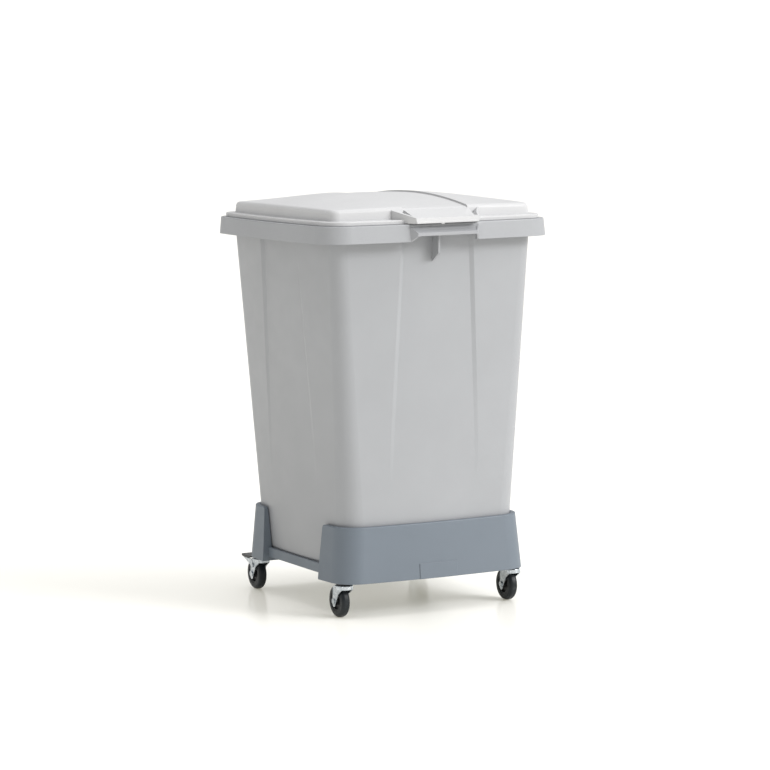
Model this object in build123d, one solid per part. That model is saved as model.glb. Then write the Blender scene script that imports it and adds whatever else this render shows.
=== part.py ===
from build123d import *
import os

os.makedirs("parts", exist_ok=True)

# Castor wheels, which everything above stands on
wheel_radius = 25.5
wheel_width = 14.0
tread_round = 5.0
hub_radius = 16.0
hub_bore_fit = 0.05
hub_dish = 3.5
hub_rim = 2.5
hub_setback = 0.8
hub_boss_radius = 6.0
trail = 16.0
axle_radius = 3.0
axle_head_radius = 4.6
axle_head_length = 1.6

# Castor forks, stems and cups
fork_head_room = 2.0
fork_gap = 1.2
fork_plate = 1.8
fork_skirt_drop = 7.0
crown_radius = 14.0
wheel_slot_front = 5.0
leg_front = 11.5
leg_rear = 19.0
leg_shoulder_y = 12.0
leg_shoulder_drop = 4.0
leg_throat_y = 1.0
leg_throat_drop = 14.0
leg_foot_radius = 4.3
leg_tip_drop = 4.8
stem_radius = 5.0
stem_fit = 0.05
stem_length = 15.0
stem_button_radius = 6.2
stem_button_height = 1.5
cup_height = 3.0
cup_radius = 12.0
cup_round = 0.8
cup_gap = 0.3

# Brake pedals and their levers
pedal_half_width = 12.5
pedal_thickness = 1.8
pedal_tip = 35.0
pedal_belly_front = 14.0
pedal_belly_rear = 25.0
pedal_belly = 4.1
pedal_front_gap = 1.0
pedal_rise = 1.4
pedal_tip_round = 4.0
pedal_pin_radius = 1.6
pedal_pin_fit = 0.05
pedal_pin_y = 12.0
pedal_pin_rise = 14.5
lever_ear_radius = 4.0
lever_thickness = 1.6
lever_ear_gap = 0.2
lever_plate_front = 17.0
lever_plate_rear = 24.0

# Container
floor_rise = 20.0
container_height = 534.0
rim_band_height = 27.0
rim_half_x = 202.6
rim_half_y = 216.8
rim_bow_x = 10.5
rim_bow_y = 8.0
rim_corner = 44.0
rim_flare = 2.4
rim_overhang = 20.3
rim_edge_round = 1.6
body_taper_x = 28.4
body_taper_y = 28.4
floor_bow = 8.0
floor_corner = 36.0
wall = 3.0
foot_height = 4.0
foot_bevel = 1.5

# Sunk panels in the container faces
panel_top_half_x = 55.0
panel_foot_half_x = 80.0
panel_top_half_y = 57.0
panel_foot_half_y = 86.0
panel_depth = 4.0
panel_step = 7.0
panel_fade = 1.0

# Grip at the front of the rim
grip_half = 58.5
grip_bend_drop = 4.0
grip_flare_reach = 4.5
grip_flare_drop = 8.7
grip_lip_half = 50.5
grip_lip_reach = 11.7
grip_lip_drop = 13.2
grip_lip_height = 4.8
grip_shift = 2.1
grip_rib_x = -7.3
grip_rib_thickness = 3.2
grip_rib_drop = 12.5
grip_rib_head = 20.0
grip_rib_reach = 17.5
grip_rib_height = 48.0
grip_rib_knee = 14.0

# Lid
lid_gap = 0.4
lid_inset = 7.7
lid_edge_height = 6.2
lid_wall = 2.6
dome_inset_x = 13.1
dome_inset_y = 19.2
dome_corner = 15.0
dome_lean = 1.5
shoulder_rise = 22.5
crown_height = 19.0
crown_overhang = 10.8
shoulder_round = 7.0
panel_strip_half = 56.0
panel_strip_sink = 2.6
locating_ring_depth = 7.0
locating_ring_clearance = 5.5
lid_edge_round = 1.5
hinge_arm_lift = 2.2

# Lid tongue
tongue_root_half = 76.0
tongue_tip_half = 53.5
tongue_reach = 17.9
tongue_root_rise = 0.6
tongue_lift = 0.6
tongue_tip_rise = 9.5
tongue_nose_lean = 0.5
tongue_nose_height = 4.9
tongue_lip_reach = 1.5
tongue_lip_height = 2.4
pocket_root_inner = 54.0
pocket_root_outer = 59.0
pocket_tip_inner = 52.5
pocket_tip_outer = 54.5
pocket_top_outer = 75.0
pocket_top_tip = 56.5
pocket_nose = 5.0
pocket_back = 4.0
bevel_front_x = 35.0
bevel_front_back = 11.0
pocket_floor_rise = 1.6
nib_length = 5.0
nib_height = 1.8
nib_depth = 2.0
nib_offset = 8.0

# Lid hinge
hinge_reach = 5.7
hinge_rise = 6.5
hinge_pin_radius = 2.5
hinge_fit = 0.05
knuckle_radius = 6.0
knuckle_length = 34.0
knuckle_gap = 0.6
hinge_half_spacing = 92.0
lug_thickness = 7.0
lug_root_drop = 20.0
pin_head_radius = 4.2
pin_head_length = 2.0

# Trolley
skirt_room = 17.7
skirt_height = 86.7
skirt_lean = 6.6
skirt_bow = 8.0
skirt_corner = 40.0
skirt_top_round = 1.6
hollow_top_margin = 24.0
skirt_wall = 3.0
container_clearance = 1.2
container_rest_gap = 0.3
deck_thickness = 4.0
deck_ledge_x = 61.9
deck_ledge_y = 64.1
deck_opening_round = 24.0
wrap_depth_low = 84.8
wrap_depth_high = 79.8
wrap_end_round = 6.0
rail_rise = 7.0
rail_height = 15.0
rail_setback = 13.0
rail_end_round = 6.0
castor_inset_x = 22.8
castor_inset_y = 34.8
boss_radius = 10.0
housing_reach = 52.0
housing_round = 14.0
collar_thickness = 3.0
collar_height = 8.0
plate_half_length = 33.0
plate_height = 24.0
plate_relief = 0.8

overrun = 20.0

# Heights, from the floor up
fork_crown_top = 2 * wheel_radius + fork_head_room
pedal_top_z = fork_crown_top + pedal_rise
pedal_pin_z = wheel_radius + pedal_pin_rise
skirt_bottom_z = fork_crown_top + cup_height
skirt_top_z = skirt_bottom_z + skirt_height
rail_bottom_z = skirt_bottom_z + rail_rise
rail_top_z = rail_bottom_z + rail_height
floor_z = skirt_bottom_z + floor_rise
rim_top_z = floor_z + container_height
flange_top_z = rim_top_z + lid_gap + lid_edge_height
shoulder_z = rim_top_z + shoulder_rise
tongue_tip_z = rim_top_z + tongue_tip_rise
hinge_z = rim_top_z + hinge_rise

# Places that follow the container's rim and foot
hinge_y = rim_half_y + hinge_reach
foot_half_x = rim_half_x - rim_overhang - body_taper_x
foot_half_y = rim_half_y - rim_overhang - body_taper_y
skirt_half_x = foot_half_x + skirt_room
skirt_half_y = foot_half_y + skirt_room
rail_outer_x = skirt_half_x - rail_setback
wrap_half_low = skirt_half_y - wrap_depth_low
wrap_half_high = skirt_half_y - wrap_depth_high
deck_opening_half_x = foot_half_x - deck_ledge_x
deck_opening_half_y = foot_half_y - deck_ledge_y
castor_x = skirt_half_x - castor_inset_x
castor_y = skirt_half_y - castor_inset_y

pillow_share = 16 / 9
patch_shares = (-1, -1 / 3, 1 / 3, 1)


# Shared outlines


def outline(half_x, half_y, bow_x, bow_y, radius):
    """A rectangle with bowed sides and rounded corners, centred on the origin."""
    corner_x = half_x - bow_y
    corner_y = half_y - bow_x
    with BuildSketch() as sketch:
        with BuildLine():
            ThreePointArc((-corner_x, -corner_y), (0, -half_y), (corner_x, -corner_y))
            ThreePointArc((corner_x, -corner_y), (half_x, 0), (corner_x, corner_y))
            ThreePointArc((corner_x, corner_y), (0, half_y), (-corner_x, corner_y))
            ThreePointArc((-corner_x, corner_y), (-half_x, 0), (-corner_x, -corner_y))
        make_face()
        fillet(sketch.vertices(), radius)
    return sketch.sketch


def tier(z, section):
    return Pos(0, 0, z) * section


def prism(sections):
    return loft(sections, ruled=True)


def block(x0, x1, y0, y1, z0, z1):
    """A straight block between two corners."""
    size = Box(x1 - x0, y1 - y0, z1 - z0)
    return Pos((x0 + x1) / 2, (y0 + y1) / 2, (z0 + z1) / 2) * size


def side_profile(points, x0, x1):
    """A closed YZ outline pushed along X from x0 to x1."""
    face = make_face(Polyline(*points, close=True))
    placed = Plane(origin=(x0, 0, 0), x_dir=(0, 1, 0), z_dir=(1, 0, 0)) * face
    return extrude(placed, x1 - x0)


def rod(radius, length, x0, y, z):
    """A round bar along X that starts at x0."""
    return Pos(x0 + length / 2, y, z) * Rot(0, 90, 0) * Cylinder(radius, length)


# Container shell


def body_share(z):
    """How far up the container wall a height lies, from floor to rim."""
    return (z - floor_z) / (rim_top_z - floor_z)


def body_half(z):
    share = 1 - body_share(z)
    half_x = rim_half_x - rim_overhang - body_taper_x * share
    half_y = rim_half_y - rim_overhang - body_taper_y * share
    return half_x, half_y


def body_outline(z, inset):
    share = body_share(z)
    half_x, half_y = body_half(z)
    corner = floor_corner + (rim_corner - rim_overhang - floor_corner) * share
    bow_x = floor_bow + (rim_bow_x - floor_bow) * share
    bow_y = floor_bow + (rim_bow_y - floor_bow) * share
    face = outline(half_x - inset, half_y - inset, bow_x, bow_y, corner - inset)
    return tier(z, face)


def sunk_section(half_span, face_half, bow, cross_half, depth, inward, z):
    """The outline that sinks a panel into the front face at one height."""
    step_half = half_span + panel_step
    surface = -(face_half - bow * (step_half / cross_half) ** 2) + inward
    floor_side = -(face_half - bow * (half_span / cross_half) ** 2) + inward + depth
    floor_mid = -face_half + inward + depth
    with BuildSketch() as sketch:
        with BuildLine():
            Line((-step_half, surface), (-half_span, floor_side))
            ThreePointArc((-half_span, floor_side), (0, floor_mid), (half_span, floor_side))
            Line((half_span, floor_side), (step_half, surface))
            Line((step_half, surface), (step_half, surface - overrun))
            Line((step_half, surface - overrun), (-step_half, surface - overrun))
            Line((-step_half, surface - overrun), (-step_half, surface))
        make_face()
    return tier(z, sketch.sketch)


def sunk_panel(top_half, foot_half, axis_index, bow, inward):
    """The cutter of one sunk panel, which fades out towards the floor."""
    z_high = rim_top_z - wall
    high = body_half(z_high)
    low = body_half(floor_z)
    other = 1 - axis_index
    top = sunk_section(top_half, high[other], bow, high[axis_index], panel_depth, inward, z_high)
    foot = sunk_section(foot_half, low[other], floor_bow, low[axis_index], -panel_fade, inward, floor_z)
    return prism([foot, top])


def sunk_panels(inward):
    """Front, back and two side panels as one cutter."""
    front = sunk_panel(panel_top_half_x, panel_foot_half_x, 0, rim_bow_x, inward)
    side = sunk_panel(panel_top_half_y, panel_foot_half_y, 1, rim_bow_y, inward)
    return [front, Rot(0, 0, 180) * front, Rot(0, 0, 90) * side, Rot(0, 0, -90) * side]


def rim_outline(z, inset):
    share = (rim_top_z - z) / rim_band_height
    grow = rim_flare * share - inset
    face = outline(rim_half_x + grow, rim_half_y + grow, rim_bow_x, rim_bow_y, rim_corner + grow)
    return tier(z, face)


def make_rim():
    """The ledge and the hanging band around the mouth."""
    band_low = rim_top_z - rim_band_height
    outer = prism([rim_outline(band_low, 0), rim_outline(rim_top_z, 0)])
    top_edges = outer.faces().sort_by(Axis.Z)[-1].edges()
    outer = fillet(top_edges, rim_edge_round)
    hollow = prism([rim_outline(band_low - overrun, wall), rim_outline(rim_top_z - wall, wall)])
    return outer - hollow


def grip_section():
    """The YZ outline of the grip: a short face that flares out to a hanging lip."""
    face_y = -rim_half_y
    lip_y = face_y - grip_lip_reach
    lip_low = rim_top_z - grip_lip_drop - grip_lip_height
    outer = [(face_y, rim_top_z - grip_bend_drop)]
    outer.append((face_y - grip_flare_reach, rim_top_z - grip_flare_drop))
    outer.append((lip_y, rim_top_z - grip_lip_drop))
    inner = [(y + grip_shift, z - grip_shift) for y, z in outer]
    top = rim_top_z - rim_edge_round
    back = [(face_y + wall, inner[0][1]), (face_y + wall, top), (face_y, top)]
    return outer + [(lip_y, lip_low), (lip_y + grip_shift, lip_low)] + inner[::-1] + back


def grip_wing():
    """The web that closes one end of the grip, from the band out to the lip."""
    face_y = -rim_half_y
    band_low = rim_top_z - rim_band_height
    bend_z = rim_top_z - grip_bend_drop
    lip_z = rim_top_z - grip_lip_drop - grip_lip_height / 2
    tall = Pos(grip_half, face_y, (bend_z + band_low) / 2) * Rot(90, 0, 0)
    tall = tall * Rectangle(wall, bend_z - band_low)
    point = Pos(grip_lip_half, face_y - grip_lip_reach, lip_z) * Rot(90, 0, 0)
    return prism([tall, point * Rectangle(wall, grip_lip_height)])


def make_grip():
    """The flared grip, narrower at its lip, with a web and a cheek at each end."""
    face_y = -rim_half_y
    lip_y = face_y - grip_lip_reach
    band_low = rim_top_z - rim_band_height
    flare = side_profile(grip_section(), -grip_half, grip_half)
    plan = [(-grip_half, face_y + wall), (-grip_half, face_y), (-grip_lip_half, lip_y)]
    plan += [(grip_lip_half, lip_y), (grip_half, face_y), (grip_half, face_y + wall)]
    flare = flare & plan_prism(plan, band_low, rim_top_z)
    high = rim_top_z - wall
    cheek_points = [(face_y + wall, high), (face_y, high), (face_y, band_low), (face_y + wall, band_low)]
    cheek = side_profile(cheek_points, grip_half - wall, grip_half)
    wing = grip_wing()
    return flare + [cheek, mirror(cheek, Plane.YZ), wing, mirror(wing, Plane.YZ)]


def make_grip_rib():
    """The rib under the grip, which runs down into the body wall."""
    top = rim_top_z - grip_rib_drop
    wall_top = -body_half(top)[1] + panel_depth
    low = top - grip_rib_height
    wall_low = -body_half(low)[1] + panel_depth
    reach = wall_top - grip_rib_reach - panel_depth
    knee = low + grip_rib_knee
    half_shift = grip_shift / 2
    head = rim_top_z - grip_bend_drop - grip_shift
    points = [(wall_top + wall / 2, head), (half_shift - rim_half_y, head)]
    points.append((half_shift - rim_half_y - grip_flare_reach, rim_top_z - grip_flare_drop - half_shift))
    points += [(reach, rim_top_z - grip_rib_head), (reach + wall / 2, knee)]
    points += [(wall_low, low), (wall_low + wall / 2, low)]
    half = grip_rib_thickness / 2
    return side_profile(points, grip_rib_x - half, grip_rib_x + half)


def container_lug():
    """One ear on the rear of the rim that carries a hinge pin."""
    root_z = rim_top_z - lug_root_drop
    band_y = rim_half_y - rim_bow_x
    points = [(band_y, root_z), (hinge_y, hinge_z - knuckle_radius - wall), (hinge_y, hinge_z)]
    ledge_z = rim_top_z - rim_edge_round
    points += [(hinge_y - knuckle_radius, hinge_z), (hinge_y - knuckle_radius, ledge_z), (band_y, ledge_z)]
    ear = side_profile(points, 0, lug_thickness)
    ear = ear + rod(knuckle_radius, lug_thickness, 0, hinge_y, hinge_z)
    return ear - rod(hinge_pin_radius, lug_thickness + 2 * overrun, -overrun, hinge_y, hinge_z)


def lug_positions():
    """The left ends of the container ears, in a row along the hinge."""
    inner = knuckle_length / 2 + knuckle_gap
    centres = (-hinge_half_spacing, hinge_half_spacing)
    return [c + s for c in centres for s in (-inner - lug_thickness, inner)]


def make_bin_body():
    knee = floor_z + foot_height
    foot = prism([body_outline(floor_z, foot_bevel), body_outline(knee, 0)])
    shell = foot + prism([body_outline(knee, 0), body_outline(rim_top_z, 0)])
    for cutter in sunk_panels(0):
        shell = shell - cutter
    inner_knee = knee + wall
    hollow = prism([body_outline(floor_z + wall, foot_bevel + wall), body_outline(inner_knee, wall)])
    hollow = hollow + prism([body_outline(inner_knee, wall), body_outline(rim_top_z, wall)])
    for cutter in sunk_panels(wall):
        hollow = hollow - cutter
    rim = make_rim()
    front_y = -rim_half_y
    slot = block(-grip_half, grip_half, front_y - overrun, front_y + wall, floor_z, rim_top_z - wall)
    rim = rim - slot
    rim = rim + make_grip()
    body = shell + rim
    body = body + make_grip_rib()
    for x0 in lug_positions():
        body = body + Pos(x0, 0, 0) * container_lug()
    return body - hollow


# Lid


def flange_outline(z, inset):
    grow = -lid_inset - inset
    face = outline(rim_half_x + grow, rim_half_y + grow, rim_bow_x, rim_bow_y, rim_corner + grow)
    return tier(z, face)


def dome_half():
    """Half sizes of the dome where it leaves the flange."""
    return rim_half_x - lid_inset - dome_inset_x, rim_half_y - lid_inset - dome_inset_y


def dome_outline(z, inset, corner):
    half_x, half_y = dome_half()
    return tier(z, outline(half_x - inset, half_y - inset, rim_bow_x, rim_bow_y, corner))


def pillow(base_z, half_x, half_y, depth):
    """A block whose top is arched both ways and level along its border."""
    peak = crown_height * pillow_share
    rows = []
    for v in patch_shares:
        row = []
        for u in patch_shares:
            lifted = peak if abs(u) < 1 and abs(v) < 1 else 0
            row.append((u * half_x, v * half_y, base_z + lifted))
        rows.append(row)
    top = Face.make_bezier_surface(rows)
    return extrude(top, amount=depth, dir=(0, 0, -1))


def dome_block(inset, sink):
    """The dome without its step, inset all round and sunk by the given lengths."""
    foot_z = rim_top_z + lid_gap
    high_z = shoulder_z + crown_height
    lean_share = dome_lean / (shoulder_z - flange_top_z)
    low_inset = inset - lean_share * (flange_top_z - foot_z)
    high_inset = inset + lean_share * (high_z - flange_top_z)
    sides = [dome_outline(foot_z, low_inset, dome_corner - inset)]
    sides.append(dome_outline(high_z, high_inset, dome_corner - inset))
    half_x, half_y = (half - dome_lean + crown_overhang for half in dome_half())
    depth = shoulder_z - foot_z + overrun
    return prism(sides) & pillow(shoulder_z - sink, half_x, half_y, depth)


def flange(inset, low_z, high_z):
    return prism([flange_outline(low_z, inset), flange_outline(high_z, inset)])


def ring_under_lid():
    """The ring that finds the mouth of the container, stepped out under the flange."""
    low = rim_top_z - locating_ring_depth
    high = flange_top_z - lid_wall / 2
    step_low = flange_top_z - 2 * lid_wall
    inset = wall + locating_ring_clearance
    outer = extrude(tier(low, mouth_face(inset)), high - low)
    step = extrude(tier(step_low, mouth_face(0)), high - step_low)
    inner = extrude(tier(low, mouth_face(inset + lid_wall)), high - low)
    return outer + step - inner


def mouth_face(inset):
    half_x, half_y = body_half(rim_top_z)
    corner = rim_corner - rim_overhang - wall
    return outline(half_x - inset, half_y - inset, rim_bow_x, rim_bow_y, corner)


def tongue_places():
    """Front edge of the flange, tip of the tongue and its root under the dome."""
    edge_y = -(rim_half_y - lid_inset)
    return edge_y, edge_y - tongue_reach, edge_y + dome_inset_y + dome_lean


def plan_prism(points, z0, z1):
    return extrude(tier(z0, make_face(Polyline(*points, close=True))), z1 - z0)


def tongue_pocket():
    """The hollow between the centre of the tongue and its outer wall."""
    edge_y, tip_y, root_y = tongue_places()
    low = flange_top_z + pocket_floor_rise
    nose = tip_y + pocket_nose
    back = root_y - pocket_back
    floor_points = [(pocket_root_inner, back), (pocket_root_outer, back)]
    floor_points += [(pocket_tip_outer, nose), (pocket_tip_inner, nose)]
    mouth_points = [(pocket_root_inner + lid_wall, root_y), (pocket_top_outer, root_y)]
    mouth_points += [(pocket_top_tip, nose), (pocket_tip_inner, nose)]
    floor_face = tier(low, make_face(Polyline(*floor_points, close=True)))
    mouth_face_up = tier(shoulder_z, make_face(Polyline(*mouth_points, close=True)))
    return prism([floor_face, mouth_face_up])


def tongue_bevel():
    """The shallow facet between the flat of the tongue and its pocket."""
    edge_y, tip_y, root_y = tongue_places()
    root_z = shoulder_z - panel_strip_sink + tongue_root_rise
    slope = (root_z - tongue_tip_z) / (root_y - tip_y)
    start = (pocket_root_inner + lid_wall, root_y, root_z)
    crease = (bevel_front_x, tip_y + bevel_front_back, tongue_tip_z + slope * bevel_front_back)
    low = (pocket_tip_inner, tip_y + pocket_nose, flange_top_z + pocket_floor_rise)
    face = make_face(Polyline(start, crease, low, close=True))
    return extrude(face, amount=overrun, dir=(0, 0, 1))


def make_tongue():
    """The lifting tongue that bridges from the dome to the front lip."""
    edge_y, tip_y, root_y = tongue_places()
    root_z = shoulder_z - panel_strip_sink + tongue_root_rise
    low = rim_top_z + lid_gap + tongue_lift
    inside = root_y + dome_inset_y
    front = tip_y - tongue_lip_reach
    nose_low = tongue_tip_z - tongue_nose_height
    points = [(inside, root_z), (root_y, root_z), (tip_y, tongue_tip_z)]
    points += [(tip_y - tongue_nose_lean, nose_low), (front, low + tongue_lip_height)]
    points += [(front, low), (inside, low)]
    side = side_profile(points, -tongue_root_half, tongue_root_half)
    bend_y = root_y - dome_lean
    left = [(-tongue_root_half, inside), (-tongue_root_half, bend_y), (-tongue_tip_half, front)]
    right = [(tongue_tip_half, front), (tongue_root_half, bend_y), (tongue_root_half, inside)]
    plan = left + right
    tongue = side & plan_prism(plan, low, root_z)
    for cutter in (tongue_pocket(), tongue_bevel()):
        tongue = tongue - cutter - mirror(cutter, Plane.YZ)
    slope = (root_z - tongue_tip_z) / (root_y - tip_y)
    high = tongue_tip_z - lid_wall
    back_z = high + slope * (edge_y - tip_y)
    hollow_points = [(edge_y, low), (edge_y, back_z), (tip_y + lid_wall, high), (tip_y + lid_wall, low)]
    half = pocket_tip_inner - lid_wall
    tongue = tongue - side_profile(hollow_points, -half, half)
    nib_x = -nib_offset - nib_length / 2
    nib = block(nib_x, nib_x + nib_length, tip_y, tip_y + nib_depth, low - nib_height, low)
    return tongue + nib


def lid_knuckle():
    """One arm and eye of the lid hinge."""
    arm_low = rim_top_z + lid_gap + hinge_arm_lift
    arm_y = rim_half_y - lid_inset - rim_bow_x
    arm = block(-knuckle_length / 2, knuckle_length / 2, arm_y, hinge_y, arm_low, flange_top_z)
    arm = arm + rod(knuckle_radius, knuckle_length, -knuckle_length / 2, hinge_y, hinge_z)
    bore = hinge_pin_radius + hinge_fit
    return arm - rod(bore, knuckle_length + overrun, -(knuckle_length + overrun) / 2, hinge_y, hinge_z)


def rounded_high(shape):
    """Round the shoulder where the dome's top meets its sides."""
    edges = [e for e in shape.edges() if e.center().Z > shoulder_z - shoulder_round]
    return fillet(edges, shoulder_round)


def make_lid():
    low_z = rim_top_z + lid_gap
    half = panel_strip_half
    strip_top = shoulder_z + crown_height
    strip = block(-half, half, -rim_half_y, rim_half_y, low_z, strip_top)
    high = rounded_high(dome_block(0, 0))
    low = rounded_high(dome_block(0, panel_strip_sink))
    plate = flange(0, low_z, flange_top_z)
    rim_edges = plate.faces().sort_by(Axis.Z)[-1].edges()
    plate = fillet(rim_edges, lid_edge_round)
    lid = plate + (high - strip) + (low & strip) + make_tongue()
    lid = lid - flange(lid_wall, low_z - overrun, flange_top_z - lid_wall)
    cavity = dome_block(lid_wall, lid_wall)
    sunk = dome_block(lid_wall, lid_wall + panel_strip_sink)
    wide_half = half + lid_wall
    wide_strip = block(-wide_half, wide_half, -rim_half_y, rim_half_y, low_z - overrun, strip_top)
    lid = lid - (cavity - wide_strip) - (sunk & wide_strip)
    lid = lid + ring_under_lid()
    for side in (-1, 1):
        lid = lid + Pos(side * hinge_half_spacing, 0, 0) * lid_knuckle()
    return lid


def make_hinge_pins():
    """Two headed pins, each through a pair of ears and the lid's eye between them."""
    half = knuckle_length / 2 + knuckle_gap + lug_thickness
    pin = rod(hinge_pin_radius, 2 * half, -half, hinge_y, hinge_z)
    pin = pin + rod(pin_head_radius, pin_head_length, half, hinge_y, hinge_z)
    pin = pin + rod(pin_head_radius, pin_head_length, -half - pin_head_length, hinge_y, hinge_z)
    return Compound([Pos(side * hinge_half_spacing, 0, 0) * pin for side in (-1, 1)])


# Trolley


def skirt_half(z):
    share = (z - skirt_bottom_z) / (skirt_top_z - skirt_bottom_z)
    return skirt_half_x - skirt_lean * share, skirt_half_y - skirt_lean * share


def skirt_outline(z, inset):
    half_x, half_y = skirt_half(z)
    return tier(z, outline(half_x - inset, half_y - inset, skirt_bow, skirt_bow, skirt_corner - inset))


def skirt_block(inset, low_z, high_z):
    return prism([skirt_outline(low_z, inset), skirt_outline(high_z, inset)])


def seat_block(grow, low_z, high_z):
    """The container's outline with room around it, between two heights."""
    return prism([body_outline(low_z, -grow), body_outline(high_z, -grow)])


def side_cut():
    """The gap in each side above the rail, with the walls' upper ends rounded."""
    high_z = skirt_top_z + overrun
    wide = wrap_half_high + overrun
    points = [(-wrap_half_low, rail_top_z), (wrap_half_low, rail_top_z)]
    points += [(wrap_half_high, skirt_top_z), (wide, skirt_top_z), (wide, high_z)]
    points += [(-wide, high_z), (-wide, skirt_top_z), (-wrap_half_high, skirt_top_z)]
    face = make_face(Polyline(*points, close=True))
    ends = [v for v in face.vertices() if abs(abs(v.X) - wrap_half_high) < skirt_top_round]
    face = fillet(ends, wrap_end_round)
    reach = skirt_half_x + overrun
    placed = Plane(origin=(-reach, 0, 0), x_dir=(0, 1, 0), z_dir=(1, 0, 0)) * face
    return extrude(placed, 2 * reach)


def under_rail_cut():
    """The arch below the side rails, with rounded upper corners."""
    low_z = skirt_bottom_z - overrun
    reach = skirt_half_x + overrun
    face = Rectangle(2 * wrap_half_low, 2 * (rail_bottom_z - low_z))
    face = fillet(face.vertices(), rail_end_round)
    placed = Plane(origin=(-reach, 0, low_z), x_dir=(0, 1, 0), z_dir=(1, 0, 0)) * face
    return extrude(placed, 2 * reach)


def side_rail():
    inner_x = rail_outer_x - skirt_wall
    ends = wrap_half_high
    return block(inner_x, rail_outer_x, -ends, ends, rail_bottom_z, rail_top_z)


def four_corners(shape):
    right = shape + mirror(shape, Plane.XZ)
    return right + mirror(right, Plane.YZ)


def castor_housing(deck_low):
    """The wall that closes a wrapped end and turns around the castor, with its boss."""
    inner_x = rail_outer_x - housing_reach
    height = deck_low - skirt_bottom_z
    middle_x = (inner_x + skirt_half_x + overrun) / 2
    middle_y = (wrap_half_low + skirt_half_y + overrun) / 2
    size_x = skirt_half_x + overrun - inner_x
    size_y = skirt_half_y + overrun - wrap_half_low
    outer = RectangleRounded(size_x, size_y, housing_round)
    inner_size = (size_x - 2 * skirt_wall, size_y - 2 * skirt_wall)
    inner = RectangleRounded(*inner_size, housing_round - skirt_wall)
    ring = Pos(middle_x, middle_y, skirt_bottom_z) * extrude(outer - inner, height)
    boss = Pos(castor_x, castor_y, skirt_bottom_z + height / 2) * Cylinder(boss_radius, height)
    end_x = rail_outer_x - skirt_wall
    end_y = wrap_half_low + skirt_wall
    upper = block(end_x, skirt_half_x, wrap_half_low, end_y, deck_low, rail_top_z)
    return ring + boss + upper


def trolley_walls(solid, deck_top, deck_low):
    """The outer wall with the container's seat and the hollows cut out."""
    shell = solid - seat_block(container_clearance, deck_top, skirt_top_z + overrun)
    shell = shell - skirt_block(skirt_wall, skirt_bottom_z - overrun, deck_low)
    hollow_top = skirt_top_z - hollow_top_margin
    cavity = skirt_block(skirt_wall, deck_low, hollow_top)
    cavity = cavity - seat_block(container_clearance + skirt_wall, deck_low, hollow_top)
    ends = wrap_half_high + skirt_wall
    middle = block(-skirt_half_x, skirt_half_x, -ends, ends, skirt_bottom_z, skirt_top_z)
    return shell - (cavity - middle)


def deck_collar(deck_low):
    """The collar that hangs around the deck's opening."""
    half_x = deck_opening_half_x + collar_thickness
    half_y = deck_opening_half_y + collar_thickness
    face = RectangleRounded(2 * half_x, 2 * half_y, deck_opening_round + collar_thickness)
    return extrude(tier(deck_low - collar_height, face), collar_height)


def bare_plate(solid):
    """The low raised plate on the front wall."""
    plate = skirt_block(-plate_relief, skirt_bottom_z, skirt_bottom_z + plate_height) - solid
    half = plate_half_length
    front_y = -skirt_half_y - overrun
    return plate & block(-half, half, front_y, 0, skirt_bottom_z, skirt_top_z)


def make_trolley():
    deck_top = floor_z - container_rest_gap
    deck_low = deck_top - deck_thickness
    solid = skirt_block(0, skirt_bottom_z, skirt_top_z)
    solid = fillet(solid.faces().sort_by(Axis.Z)[-1].edges(), skirt_top_round)
    shell = trolley_walls(solid, deck_top, deck_low)
    shell = shell + four_corners(castor_housing(deck_low) & solid)
    end_y = wrap_half_low
    wide = skirt_half_x + overrun
    outside = block(rail_outer_x, wide, -end_y, end_y, skirt_bottom_z - overrun, skirt_top_z)
    shell = shell - outside - mirror(outside, Plane.YZ) - side_cut()
    rail = side_rail()
    shell = shell + rail + mirror(rail, Plane.YZ) + deck_collar(deck_low)
    opening = RectangleRounded(2 * deck_opening_half_x, 2 * deck_opening_half_y, deck_opening_round)
    shell = shell - extrude(tier(skirt_bottom_z - overrun, opening), skirt_top_z)
    shell = shell - under_rail_cut()
    shell = shell + bare_plate(solid)
    stem_hole = Pos(castor_x, castor_y, skirt_bottom_z) * Cylinder(stem_radius, 2 * stem_length)
    return shell - four_corners(stem_hole)


# Castors, each built around its own swivel axis with the floor at zero


def make_stem():
    """Fixed stem with the button that holds the fork from below."""
    button_top = fork_crown_top - fork_plate - cup_gap
    low = button_top - stem_button_height
    high = skirt_bottom_z + stem_length
    stem = Pos(0, 0, (low + high) / 2) * Cylinder(stem_radius, high - low)
    button = Pos(0, 0, (low + button_top) / 2) * Cylinder(stem_button_radius, stem_button_height)
    return stem + button


def make_cup():
    low = fork_crown_top + cup_gap
    height = skirt_bottom_z - low
    cup = Pos(0, 0, low + height / 2) * Cylinder(cup_radius, height)
    cup = fillet(cup.edges().sort_by(Axis.Z)[:1], cup_round)
    return cup - Pos(0, 0, low) * Cylinder(stem_radius, 2 * cup_radius)


def crown_bowl():
    """The round bowl of the fork with its turned-down edge."""
    low = fork_crown_top - fork_skirt_drop
    mid = (low + fork_crown_top) / 2
    bowl = Pos(0, 0, mid) * Cylinder(crown_radius, fork_skirt_drop)
    bowl = fillet(bowl.edges().sort_by(Axis.Z)[-1:], fork_plate)
    inner_high = fork_crown_top - fork_plate
    inner = Pos(0, 0, (low + inner_high) / 2) * Cylinder(crown_radius - fork_plate, inner_high - low)
    half = wheel_width / 2 + fork_gap
    slot = block(-half, half, -wheel_slot_front, crown_radius, low, inner_high)
    return bowl - inner - slot


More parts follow.
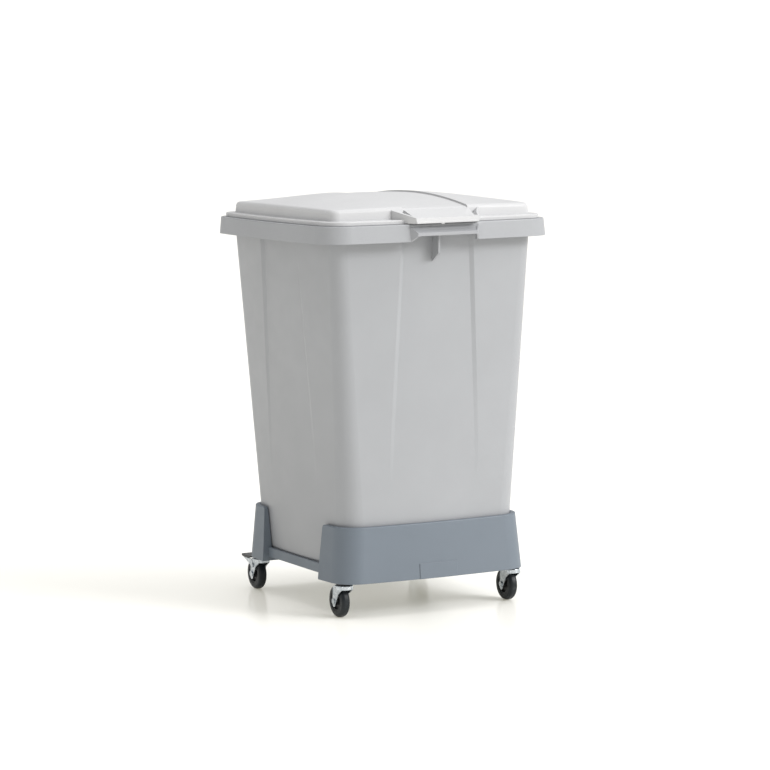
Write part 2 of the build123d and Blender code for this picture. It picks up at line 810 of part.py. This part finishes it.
def leg_plate():
    """One leg: broad under the bowl, cut back at the throat and narrow below the axle."""
    half = wheel_width / 2 + fork_gap
    high = fork_crown_top - fork_plate / 2
    foot_z = wheel_radius - leg_tip_drop
    points = [(-leg_front, fork_crown_top - fork_skirt_drop), (-leg_front, high)]
    points += [(leg_shoulder_y, high), (leg_rear, high - leg_shoulder_drop)]
    points += [(trail + leg_foot_radius, foot_z), (trail - leg_foot_radius, foot_z)]
    points.append((leg_throat_y, high - leg_throat_drop))
    leg = side_profile(points, half, half + fork_plate)
    return leg + rod(leg_foot_radius, fork_plate, half, trail, foot_z)


def make_fork(braked):
    leg = leg_plate()
    if braked:
        start = wheel_width / 2 + fork_gap + fork_plate / 2
        length = fork_plate / 2 + lever_ear_gap + lever_thickness
        leg = leg + rod(pedal_pin_radius, length, start, pedal_pin_y, pedal_pin_z)
    legs = leg + mirror(leg, Plane.YZ)
    fork = crown_bowl() + legs
    fork = fork - Pos(0, 0, fork_crown_top) * Cylinder(stem_radius + stem_fit, crown_radius)
    return fork - rod(axle_radius, 2 * crown_radius, -crown_radius, trail, wheel_radius)


def make_axle():
    """A riveted axle with a head outside each leg."""
    half = wheel_width / 2 + fork_gap + fork_plate
    axle = rod(axle_radius, 2 * half, -half, trail, wheel_radius)
    axle = axle + rod(axle_head_radius, axle_head_length, half, trail, wheel_radius)
    return axle + rod(axle_head_radius, axle_head_length, -half - axle_head_length, trail, wheel_radius)


def make_tyre():
    tyre = rod(wheel_radius, wheel_width, -wheel_width / 2, trail, wheel_radius)
    tyre = fillet(tyre.edges().filter_by(GeomType.CIRCLE), tread_round)
    return tyre - rod(hub_radius, 2 * wheel_width, -wheel_width, trail, wheel_radius)


def make_hub():
    """The wheel's core, dished on both faces around a long boss."""
    width = wheel_width - 2 * hub_setback
    core = rod(hub_radius, width, -width / 2, trail, wheel_radius)
    for side in (-1, 1):
        start = width / 2 - hub_dish if side > 0 else -width / 2
        core = core - rod(hub_radius - hub_rim, hub_dish, start, trail, wheel_radius)
    reach = wheel_width / 2 + fork_gap - cup_gap
    core = core + rod(hub_boss_radius, 2 * reach, -reach, trail, wheel_radius)
    bore = axle_radius + hub_bore_fit
    return core - rod(bore, 2 * wheel_width, -wheel_width, trail, wheel_radius)


def make_pedal():
    """The brake pedal's plate, thicker where it sits on its lever."""
    front = crown_radius + pedal_front_gap
    tip = trail + pedal_tip
    low = pedal_top_z - pedal_thickness
    belly_z = pedal_top_z - pedal_belly
    points = [(front, low), (front, pedal_top_z), (tip, pedal_top_z), (tip, low)]
    points += [(trail + pedal_belly_rear, belly_z), (trail + pedal_belly_front, belly_z)]
    points.append((leg_rear + pedal_front_gap, low))
    plate = side_profile(points, -pedal_half_width, pedal_half_width)
    return fillet(plate.edges().filter_by(Axis.Z).group_by(Axis.Y)[-1], pedal_tip_round)


def make_lever():
    """The plated lever under the pedal, hung on stubs outside the fork legs."""
    inner = wheel_width / 2 + fork_gap + fork_plate + lever_ear_gap
    outer = inner + lever_thickness
    high = pedal_top_z - pedal_belly
    low = high - lever_thickness
    front = trail + lever_plate_front
    rear = trail + lever_plate_rear
    plate = block(-outer, outer, front, rear, low, high)
    points = [(pedal_pin_y - lever_ear_radius, pedal_pin_z), (pedal_pin_y, high), (rear, high), (rear, low)]
    points.append((pedal_pin_y + lever_ear_radius, pedal_pin_z))
    ear = side_profile(points, inner, outer)
    ear = ear + rod(lever_ear_radius, lever_thickness, inner, pedal_pin_y, pedal_pin_z)
    bore = pedal_pin_radius + pedal_pin_fit
    ear = ear - rod(bore, crown_radius, inner - lever_ear_gap, pedal_pin_y, pedal_pin_z)
    return plate + ear + mirror(ear, Plane.YZ)


# Write every piece


def save(name, shape):
    export_step(shape, f"parts/{name}.step")


corners = {
    "front_left": (-1, -1),
    "front_right": (1, -1),
    "rear_left": (-1, 1),
    "rear_right": (1, 1),
}


def save_castor(corner, sides):
    place = Pos(sides[0] * castor_x, sides[1] * castor_y, 0)
    braked = sides[1] > 0
    save(f"{corner}_stem", place * make_stem())
    save(f"{corner}_swivel_cup", place * make_cup())
    save(f"{corner}_fork", place * make_fork(braked))
    save(f"{corner}_axle", place * make_axle())
    save(f"{corner}_hub", place * make_hub())
    save(f"{corner}_tyre", place * make_tyre())
    if braked:
        save(f"{corner}_brake_pedal", place * make_pedal())
        save(f"{corner}_brake_lever", place * make_lever())


save("bin_body", make_bin_body())
save("lid", make_lid())
save("lid_hinge_pins", make_hinge_pins())
save("trolley_base", make_trolley())
for corner, sides in corners.items():
    save_castor(corner, sides)
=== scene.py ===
import math

import bpy
from mathutils import Matrix, Vector

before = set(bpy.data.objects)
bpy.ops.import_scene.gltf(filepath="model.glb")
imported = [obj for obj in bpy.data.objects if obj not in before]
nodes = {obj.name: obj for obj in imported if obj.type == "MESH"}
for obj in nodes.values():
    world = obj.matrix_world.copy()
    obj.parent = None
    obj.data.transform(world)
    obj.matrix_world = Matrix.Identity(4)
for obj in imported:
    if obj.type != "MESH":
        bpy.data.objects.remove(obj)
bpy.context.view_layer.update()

# Camera, at the photograph's viewing angle: turned from the front towards -X,
# a little above the target, with a slight roll
CAMERA_AZIMUTH = math.radians(27.238)
CAMERA_ELEVATION = math.radians(6.233)
CAMERA_ROLL = math.radians(-0.778)
CAMERA_DISTANCE = 5.09985
CAMERA_LENS = 149.02  # millimetres, as the sensor is
CAMERA_SENSOR = 36
CAMERA_CLIP_END = 60
TARGET_RIGHT = 0.00457
TARGET_HEIGHT = 0.3406


def make_camera():
    """A camera that looks at the target from the given angles."""
    az, el, roll = CAMERA_AZIMUTH, CAMERA_ELEVATION, CAMERA_ROLL
    right = Vector((math.cos(az), -math.sin(az), 0))
    back = Vector((
        -math.sin(az) * math.cos(el),
        -math.cos(az) * math.cos(el),
        math.sin(el),
    ))
    up = back.cross(right)
    rolled_right = right * math.cos(roll) + up * math.sin(roll)
    rolled_up = up * math.cos(roll) - right * math.sin(roll)
    target = Vector((0, 0, TARGET_HEIGHT)) + right * TARGET_RIGHT
    data = bpy.data.cameras.new("camera")
    data.lens = CAMERA_LENS
    data.sensor_width = CAMERA_SENSOR
    data.clip_end = CAMERA_CLIP_END
    camera = bpy.data.objects.new("camera", data)
    place = Matrix((rolled_right, rolled_up, back)).transposed().to_4x4()
    place.translation = target + back * CAMERA_DISTANCE
    camera.matrix_world = place
    bpy.context.scene.collection.objects.link(camera)
    bpy.context.scene.camera = camera


# Materials. A name that ends in SCALE is a noise scale in features per metre,
# and one that ends in HEIGHT, EDGE or REACH is in metres.
BEVEL_SAMPLES = 6

# Plastics: colour, roughness and the radius of the rounded edges
PLASTICS = {
    "container_grey": ((0.343, 0.350, 0.364), 0.42, 0.0007),
    "lid_grey": ((0.555, 0.556, 0.562), 0.46, 0.0007),
    "trolley_blue_grey": ((0.148, 0.174, 0.204), 0.45, 0.0013),
    "black_plastic": ((0.016, 0.017, 0.018), 0.4, 0.0005),
    "hub_black": ((0.014, 0.015, 0.016), 0.45, 0.0005),
}
PLASTIC_MOTTLE = 0.03
PLASTIC_CLOUD_SCALE = 9
PLASTIC_SPECK_SCALE = 900
PLASTIC_SPECK_SHARE = 0.25
PLASTIC_SHINE_SCALE = 35
PLASTIC_SMOOTHER = 0.04
PLASTIC_ROUGHER = 0.05
PLASTIC_WAVE_SCALE = 14
PLASTIC_WAVE_HEIGHT = 0.0006
PLASTIC_WAVE_STRENGTH = 0.6
PLASTIC_GRAIN_SCALE = 2200
PLASTIC_GRAIN_HEIGHT = 0.00003
PLASTIC_SPECULAR = 0.45

ZINC_DULL = (0.38, 0.42, 0.45)
ZINC_BRIGHT = (0.62, 0.65, 0.68)
ZINC_PATCH_SCALE = 160
ZINC_SHINE_SCALE = 420
ZINC_ROUGHNESS = (0.2, 0.36)
ZINC_EDGE = 0.0006
ZINC_DRAWN_SCALE = 300
ZINC_DRAWN_STRETCH = (1, 1, 14)
ZINC_DRAWN_HEIGHT = 0.00003
ZINC_DRAWN_STRENGTH = 0.8

RUBBER_DARK = (0.008, 0.011, 0.013)
RUBBER_DUSTY = (0.018, 0.022, 0.025)
RUBBER_DUST_SCALE = 120
RUBBER_DUST_FROM = (0.45, 0.75)
RUBBER_SHINE_SCALE = 200
RUBBER_ROUGHNESS = (0.34, 0.5)
RUBBER_GRAIN_SCALE = 1500
RUBBER_GRAIN_HEIGHT = 0.00006
RUBBER_SPECULAR = 0.28

# The material of each node, by the whole or the end of the node's name
NODE_PAINT = {
    "bin_body": "container_grey",
    "lid_hinge_pins": "container_grey",
    "lid": "lid_grey",
    "trolley_base": "trolley_blue_grey",
    "_swivel_cup": "black_plastic",
    "_brake_pedal": "black_plastic",
    "_hub": "hub_black",
    "_fork": "zinc_plate",
    "_axle": "zinc_plate",
    "_stem": "zinc_plate",
    "_brake_lever": "zinc_plate",
    "_tyre": "tread_rubber",
}


class Nodes:
    """A material's node tree with short ways to add, join and set nodes."""

    def __init__(self, name):
        self.material = bpy.data.materials.new(name)
        self.material.use_nodes = True
        self.tree = self.material.node_tree
        self.shader = self.tree.nodes["Principled BSDF"]

    def add(self, kind, **settings):
        """Adds a node with the given settings."""
        node = self.tree.nodes.new(kind)
        for key, value in settings.items():
            setattr(node, key, value)
        return node

    def join(self, source, target):
        """Links an output to an input."""
        self.tree.links.new(source, target)

    def drive(self, name, source):
        """Links an output to the shader's socket of that name."""
        self.join(source, self.shader.inputs[name])

    def fix(self, name, value):
        """Sets the shader's own socket to one value all over the surface."""
        self.shader.inputs[name].default_value = value

    def noise(self, scale, detail=2.0, roughness=0.5, stretch=None):
        """Noise over the object's own coordinates."""
        source = self.add("ShaderNodeTexCoord").outputs["Object"]
        if stretch:
            mapping = self.add("ShaderNodeMapping")
            mapping.inputs["Scale"].default_value = stretch
            self.join(source, mapping.inputs["Vector"])
            source = mapping.outputs["Vector"]
        noise = self.add("ShaderNodeTexNoise")
        noise.inputs["Scale"].default_value = scale
        noise.inputs["Detail"].default_value = detail
        noise.inputs["Roughness"].default_value = roughness
        self.join(source, noise.inputs["Vector"])
        return noise.outputs["Fac"]

    def spread(self, source, low, high, from_low=0.3, from_high=0.7):
        """Maps a factor to a range of values."""
        ranged = self.add("ShaderNodeMapRange")
        ranged.inputs["From Min"].default_value = from_low
        ranged.inputs["From Max"].default_value = from_high
        ranged.inputs["To Min"].default_value = low
        ranged.inputs["To Max"].default_value = high
        self.join(source, ranged.inputs["Value"])
        return ranged.outputs["Result"]

    def blend(self, factor, first, second):
        """Mixes two colours, each a colour or another node's output."""
        mix = self.add("ShaderNodeMix", data_type="RGBA")
        self.join(factor, mix.inputs["Factor"])
        for socket, value in ((mix.inputs[6], first), (mix.inputs[7], second)):
            if isinstance(value, tuple):
                socket.default_value = (*value, 1)
            else:
                self.join(value, socket)
        return mix.outputs[2]

    def rounded(self, radius):
        """The surface normal with its edges rounded."""
        bevel = self.add("ShaderNodeBevel", samples=BEVEL_SAMPLES)
        bevel.inputs["Radius"].default_value = radius
        return bevel.outputs["Normal"]

    def bump(self, height, distance, strength=1.0, under=None):
        """The surface normal, or the one under it, raised by a height."""
        node = self.add("ShaderNodeBump")
        node.inputs["Strength"].default_value = strength
        node.inputs["Distance"].default_value = distance
        self.join(height, node.inputs["Height"])
        if under:
            self.join(under, node.inputs["Normal"])
        return node.outputs["Normal"]


def moulded_plastic(name, colour, roughness, edge):
    """Satin plastic: fine grain, slow waviness, slight mottling, rounded edges."""
    m = Nodes(name)
    light = tuple(min(1, c * (1 + PLASTIC_MOTTLE)) for c in colour)
    dark = tuple(c * (1 - PLASTIC_MOTTLE) for c in colour)
    cloud = m.spread(m.noise(PLASTIC_CLOUD_SCALE, 4, 0.55), 0, 1)
    speck = m.spread(m.noise(PLASTIC_SPECK_SCALE), 0, 1)
    specks = m.spread(speck, 0, PLASTIC_SPECK_SHARE, 0, 1)
    m.drive("Base Color", m.blend(specks, m.blend(cloud, dark, light), dark))
    shine = m.noise(PLASTIC_SHINE_SCALE, 3)
    smoothest = roughness - PLASTIC_SMOOTHER
    roughest = roughness + PLASTIC_ROUGHER
    m.drive("Roughness", m.spread(shine, smoothest, roughest))
    wave = m.noise(PLASTIC_WAVE_SCALE, 1)
    wavy = m.bump(wave, PLASTIC_WAVE_HEIGHT, PLASTIC_WAVE_STRENGTH, m.rounded(edge))
    grain = m.noise(PLASTIC_GRAIN_SCALE)
    m.drive("Normal", m.bump(grain, PLASTIC_GRAIN_HEIGHT, under=wavy))
    m.fix("Specular IOR Level", PLASTIC_SPECULAR)
    return m.material


def zinc(name):
    """Bright zinc plating with a fine drawn grain and slightly duller patches."""
    m = Nodes(name)
    m.fix("Metallic", 1)
    patch = m.spread(m.noise(ZINC_PATCH_SCALE, 3), 0, 1)
    m.drive("Base Color", m.blend(patch, ZINC_DULL, ZINC_BRIGHT))
    m.drive("Roughness", m.spread(m.noise(ZINC_SHINE_SCALE, 3), *ZINC_ROUGHNESS))
    drawn = m.noise(ZINC_DRAWN_SCALE, stretch=ZINC_DRAWN_STRETCH)
    edges = m.rounded(ZINC_EDGE)
    m.drive("Normal", m.bump(drawn, ZINC_DRAWN_HEIGHT, ZINC_DRAWN_STRENGTH, edges))
    return m.material


def rubber(name):
    """Dark tread rubber with a dusty bloom."""
    m = Nodes(name)
    dust = m.spread(m.noise(RUBBER_DUST_SCALE, 5, 0.65), 0, 1, *RUBBER_DUST_FROM)
    m.drive("Base Color", m.blend(dust, RUBBER_DARK, RUBBER_DUSTY))
    m.drive("Roughness", m.spread(m.noise(RUBBER_SHINE_SCALE, 3), *RUBBER_ROUGHNESS))
    m.drive("Normal", m.bump(m.noise(RUBBER_GRAIN_SCALE, 3), RUBBER_GRAIN_HEIGHT))
    m.fix("Specular IOR Level", RUBBER_SPECULAR)
    return m.material


def paint_nodes():
    """Gives each node its material."""
    materials = {name: moulded_plastic(name, *look) for name, look in PLASTICS.items()}
    materials["zinc_plate"] = zinc("zinc_plate")
    materials["tread_rubber"] = rubber("tread_rubber")
    for name in nodes:
        for ending, material in NODE_PAINT.items():
            by_ending = ending.startswith("_") and name.endswith(ending)
            if name == ending or by_ending:
                slots = nodes[name].data.materials
                slots.clear()
                slots.append(materials[material])


# Floor, light and background
FLOOR_REACH = 14.0
FLOOR_COLOURS = ((0.93, 0.925, 0.91), (0.95, 0.945, 0.93))
FLOOR_CLOUD_SCALE = 3
FLOOR_ROUGHNESS = 0.18
FLOOR_SPECULAR = 0.22
# Painted light: the floor glows a warm white, which lifts its shade and tints it warm
FLOOR_GLOW = (1.0, 0.955, 0.76, 1)
FLOOR_GLOW_STRENGTH = 0.215

# The studio's white: what lights the object, and the backdrop that the camera sees
WHITE = (1, 1, 1, 1)
STUDIO_STRENGTH = 0.567
BACKDROP_STRENGTH = 1.2

# Suns: name, the direction that the light comes from, strength, width in degrees
SUNS = (
    ("sky", (0, 0, 1.0), 0.77, 50),
    ("back_sky", (0.3, 1.0, 1.6), 0.4, 50),
    ("right_key", (2.2, -3.2, 2.0), 1.39, 20),
    ("side_key", (3.0, -2.4, 1.6), 0.33, 20),
    ("high_key", (3.0, -2.0, 2.8), 1.09, 40),
)


def make_floor():
    """A wide pale floor that glows a little, so that it stays pale in the shade."""
    m = Nodes("floor_white")
    m.drive("Base Color", m.blend(m.noise(FLOOR_CLOUD_SCALE), *FLOOR_COLOURS))
    m.fix("Roughness", FLOOR_ROUGHNESS)
    m.fix("Specular IOR Level", FLOOR_SPECULAR)
    m.fix("Emission Color", FLOOR_GLOW)
    m.fix("Emission Strength", FLOOR_GLOW_STRENGTH)
    mesh = bpy.data.meshes.new("floor")
    r = FLOOR_REACH
    corners = [(-r, -r, 0), (r, -r, 0), (r, r, 0), (-r, r, 0)]
    mesh.from_pydata(corners, [], [(0, 1, 2, 3)])
    floor = bpy.data.objects.new("floor", mesh)
    mesh.materials.append(m.material)
    bpy.context.scene.collection.objects.link(floor)


def make_sun(name, source, strength, width):
    """A distant light that shines from the source direction."""
    data = bpy.data.lights.new(name, "SUN")
    data.energy = strength
    data.angle = math.radians(width)
    sun = bpy.data.objects.new(name, data)
    sun.rotation_euler = (-Vector(source)).to_track_quat("-Z", "Y").to_euler()
    bpy.context.scene.collection.objects.link(sun)


def make_light():
    """The white studio around the object, and its suns."""
    world = bpy.data.worlds.new("studio")
    bpy.context.scene.world = world
    world.use_nodes = True
    tree = world.node_tree
    studio = tree.nodes["Background"]
    studio.inputs["Color"].default_value = WHITE
    studio.inputs["Strength"].default_value = STUDIO_STRENGTH
    backdrop = tree.nodes.new("ShaderNodeBackground")
    backdrop.inputs["Color"].default_value = WHITE
    backdrop.inputs["Strength"].default_value = BACKDROP_STRENGTH
    path = tree.nodes.new("ShaderNodeLightPath")
    mix = tree.nodes.new("ShaderNodeMixShader")
    tree.links.new(path.outputs["Is Camera Ray"], mix.inputs[0])
    tree.links.new(studio.outputs[0], mix.inputs[1])
    tree.links.new(backdrop.outputs[0], mix.inputs[2])
    tree.links.new(mix.outputs[0], tree.nodes["World Output"].inputs["Surface"])
    for name, source, strength, width in SUNS:
        make_sun(name, source, strength, width)


make_camera()
paint_nodes()
make_floor()
make_light()
bpy.context.scene.view_settings.view_transform = "Standard"
